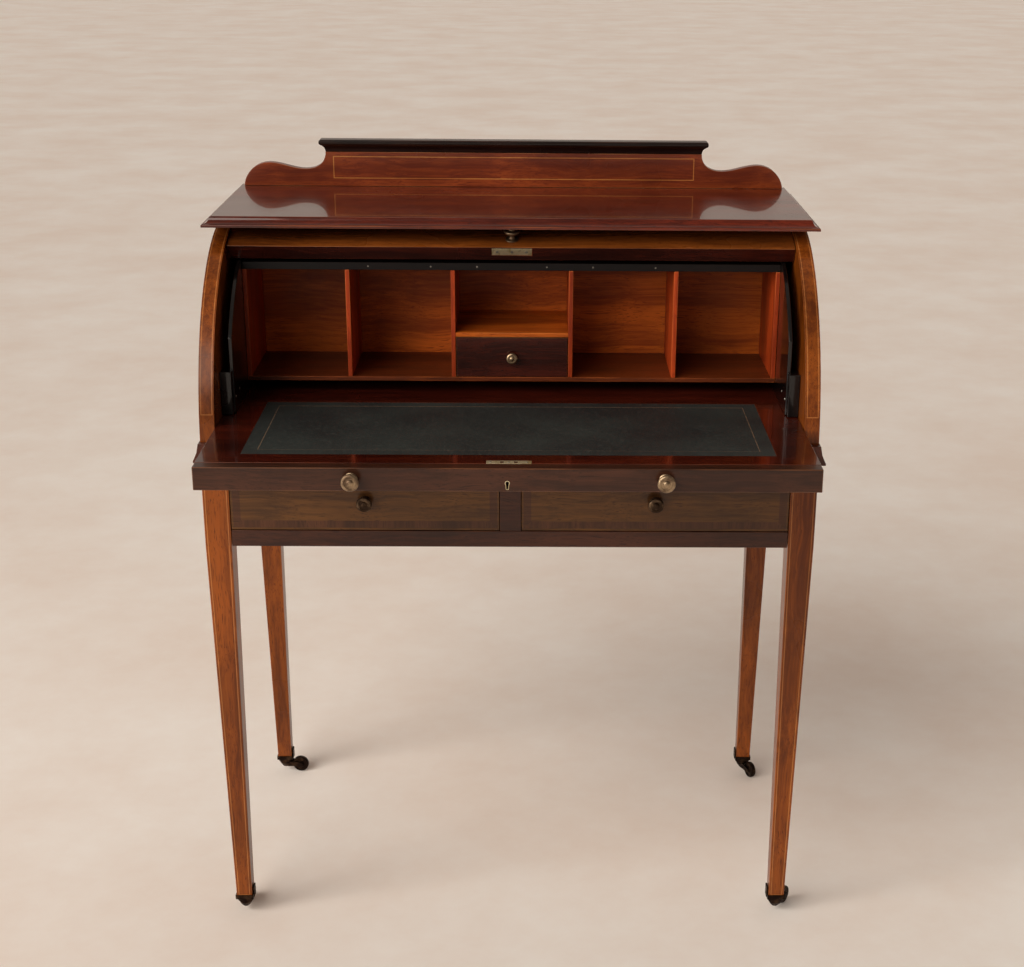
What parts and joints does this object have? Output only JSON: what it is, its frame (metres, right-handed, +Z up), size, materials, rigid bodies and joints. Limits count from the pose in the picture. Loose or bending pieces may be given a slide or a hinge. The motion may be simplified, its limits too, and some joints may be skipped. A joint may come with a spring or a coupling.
{
  "type": "cylinder writing desk",
  "caption": "Cylinder writing desk on tapered castored legs: curved fall, drawn-out leather writing slide, pigeonholes, frieze drawers and a shaped gallery.",
  "frame": {"origin": "centre of the footprint of the desk with its slide drawn out, on the floor", "axes": "+Z up, -Y towards the sitter, +X to the sitter's right"},
  "size_m": [0.924, 0.7002, 1.1565],
  "materials": {
    "mahogany": "polished reddish mahogany, french polish gloss",
    "mahogany_dark": "dark polished mahogany",
    "mahogany_faded": "sun-faded golden brown polished mahogany",
    "mahogany_raw": "thin waxed mahogany, satin",
    "ebonised": "ebonised and polished",
    "leather": "dark green writing leather, worn, blind and gilt tooled border",
    "brass": "worn lacquered brass",
    "bronze": "dulled brass, bronze brown",
    "iron": "dark bronzed iron, worn"
  },
  "bodies": {
    "carcase": {"castor_socket_back_left": "iron", "castor_socket_back_right": "iron", "castor_socket_front_left": "iron", "castor_socket_front_right": "iron", "centre_stile": "mahogany", "cheek_left": "ebonised", "cheek_right": "ebonised", "frieze_back": "mahogany_dark", "frieze_bottom_rail": "mahogany", "frieze_dust_board": "mahogany_raw", "gallery_board": "mahogany", "gallery_capping": "ebonised", "leg_back_left": "mahogany", "leg_back_right": "mahogany", "leg_front_left": "mahogany", "leg_front_right": "mahogany", "pigeonhole_back": "mahogany_raw", "pigeonhole_base": "mahogany_raw", "pigeonhole_divider_inner_left": "mahogany_raw", "pigeonhole_divider_inner_right": "mahogany_raw", "pigeonhole_divider_outer_left": "mahogany_raw", "pigeonhole_divider_outer_right": "mahogany_raw", "pigeonhole_end_left": "mahogany_raw", "pigeonhole_end_right": "mahogany_raw", "pigeonhole_shelf": "mahogany_raw", "pigeonhole_top": "mahogany_raw", "side_left": "mahogany_dark", "side_right": "mahogany_dark", "top_board": "mahogany", "upper_back_panel": "mahogany_dark", "waist_board": "mahogany_raw", "waist_moulding_left": "mahogany_dark", "waist_moulding_right": "mahogany_dark", "waist_rail": "mahogany"},
    "fall": {"cylinder_fall": "mahogany", "fall_knob": "brass", "fall_strike_plate": "brass", "fall_arm_left": "iron", "fall_arm_right": "iron"},
    "slide": {"slide_board": "mahogany_dark", "slide_front_rail": "mahogany_faded", "writing_leather": "leather", "slide_knob_left": "brass", "slide_knob_right": "brass"},
    "left_drawer": {"drawer_front_left": "mahogany_faded", "drawer_box_left": "mahogany_raw", "drawer_knob_left": "bronze"},
    "right_drawer": {"drawer_front_right": "mahogany_faded", "drawer_box_right": "mahogany_raw", "drawer_knob_right": "bronze"},
    "inner_drawer": {"small_drawer": "mahogany_dark", "small_drawer_knob": "brass"},
    "castor_front_left": {"castor_horn_front_left": "iron"},
    "wheel_front_left": {"castor_wheel_front_left": "iron"},
    "castor_front_right": {"castor_horn_front_right": "iron"},
    "wheel_front_right": {"castor_wheel_front_right": "iron"},
    "castor_back_left": {"castor_horn_back_left": "iron"},
    "wheel_back_left": {"castor_wheel_back_left": "iron"},
    "castor_back_right": {"castor_horn_back_right": "iron"},
    "wheel_back_right": {"castor_wheel_back_right": "iron"}
  },
  "joints": [
    {"name": "fall_hinge", "type": "hinge", "parent": "carcase", "child": "fall", "pos_m": [0, 0.1426, 0.7738], "axis": [1, 0, 0], "range_deg": [0, 61]},
    {"name": "writing_slide", "type": "slide", "parent": "carcase", "child": "slide", "axis": [0, -1, 0], "range_m": [-0.176, 0]},
    {"name": "left_drawer_slide", "type": "slide", "parent": "carcase", "child": "left_drawer", "axis": [0, -1, 0], "range_m": [0, 0.3]},
    {"name": "right_drawer_slide", "type": "slide", "parent": "carcase", "child": "right_drawer", "axis": [0, -1, 0], "range_m": [0, 0.3]},
    {"name": "inner_drawer_slide", "type": "slide", "parent": "carcase", "child": "inner_drawer", "axis": [0, -1, 0], "range_m": [0, 0.1]},
    {"name": "castor_swivel_front_left", "type": "hinge", "parent": "carcase", "child": "castor_front_left", "pos_m": [-0.426, -0.1437, 0.023], "axis": [0, 0, 1], "continuous": true},
    {"name": "castor_roll_front_left", "type": "hinge", "parent": "castor_front_left", "child": "wheel_front_left", "pos_m": [-0.42844, -0.11581, 0.0145], "axis": [-0.9962, -0.0872, 0], "continuous": true},
    {"name": "castor_swivel_front_right", "type": "hinge", "parent": "carcase", "child": "castor_front_right", "pos_m": [0.426, -0.1437, 0.023], "axis": [0, 0, 1], "continuous": true},
    {"name": "castor_roll_front_right", "type": "hinge", "parent": "castor_front_right", "child": "wheel_front_right", "pos_m": [0.44206, -0.12076, 0.0145], "axis": [-0.8192, 0.5736, 0], "continuous": true},
    {"name": "castor_swivel_back_left", "type": "hinge", "parent": "carcase", "child": "castor_back_left", "pos_m": [-0.426, 0.3359, 0.023], "axis": [0, 0, 1], "continuous": true},
    {"name": "castor_roll_back_left", "type": "hinge", "parent": "castor_back_left", "child": "wheel_back_left", "pos_m": [-0.39811, 0.33346, 0.0145], "axis": [0.0872, 0.9962, 0], "continuous": true},
    {"name": "castor_swivel_back_right", "type": "hinge", "parent": "carcase", "child": "castor_back_right", "pos_m": [0.426, 0.3359, 0.023], "axis": [0, 0, 1], "continuous": true},
    {"name": "castor_roll_back_right", "type": "hinge", "parent": "castor_back_right", "child": "wheel_back_right", "pos_m": [0.43827, 0.31073, 0.0145], "axis": [0.8988, 0.4384, 0], "continuous": true}
  ]
}
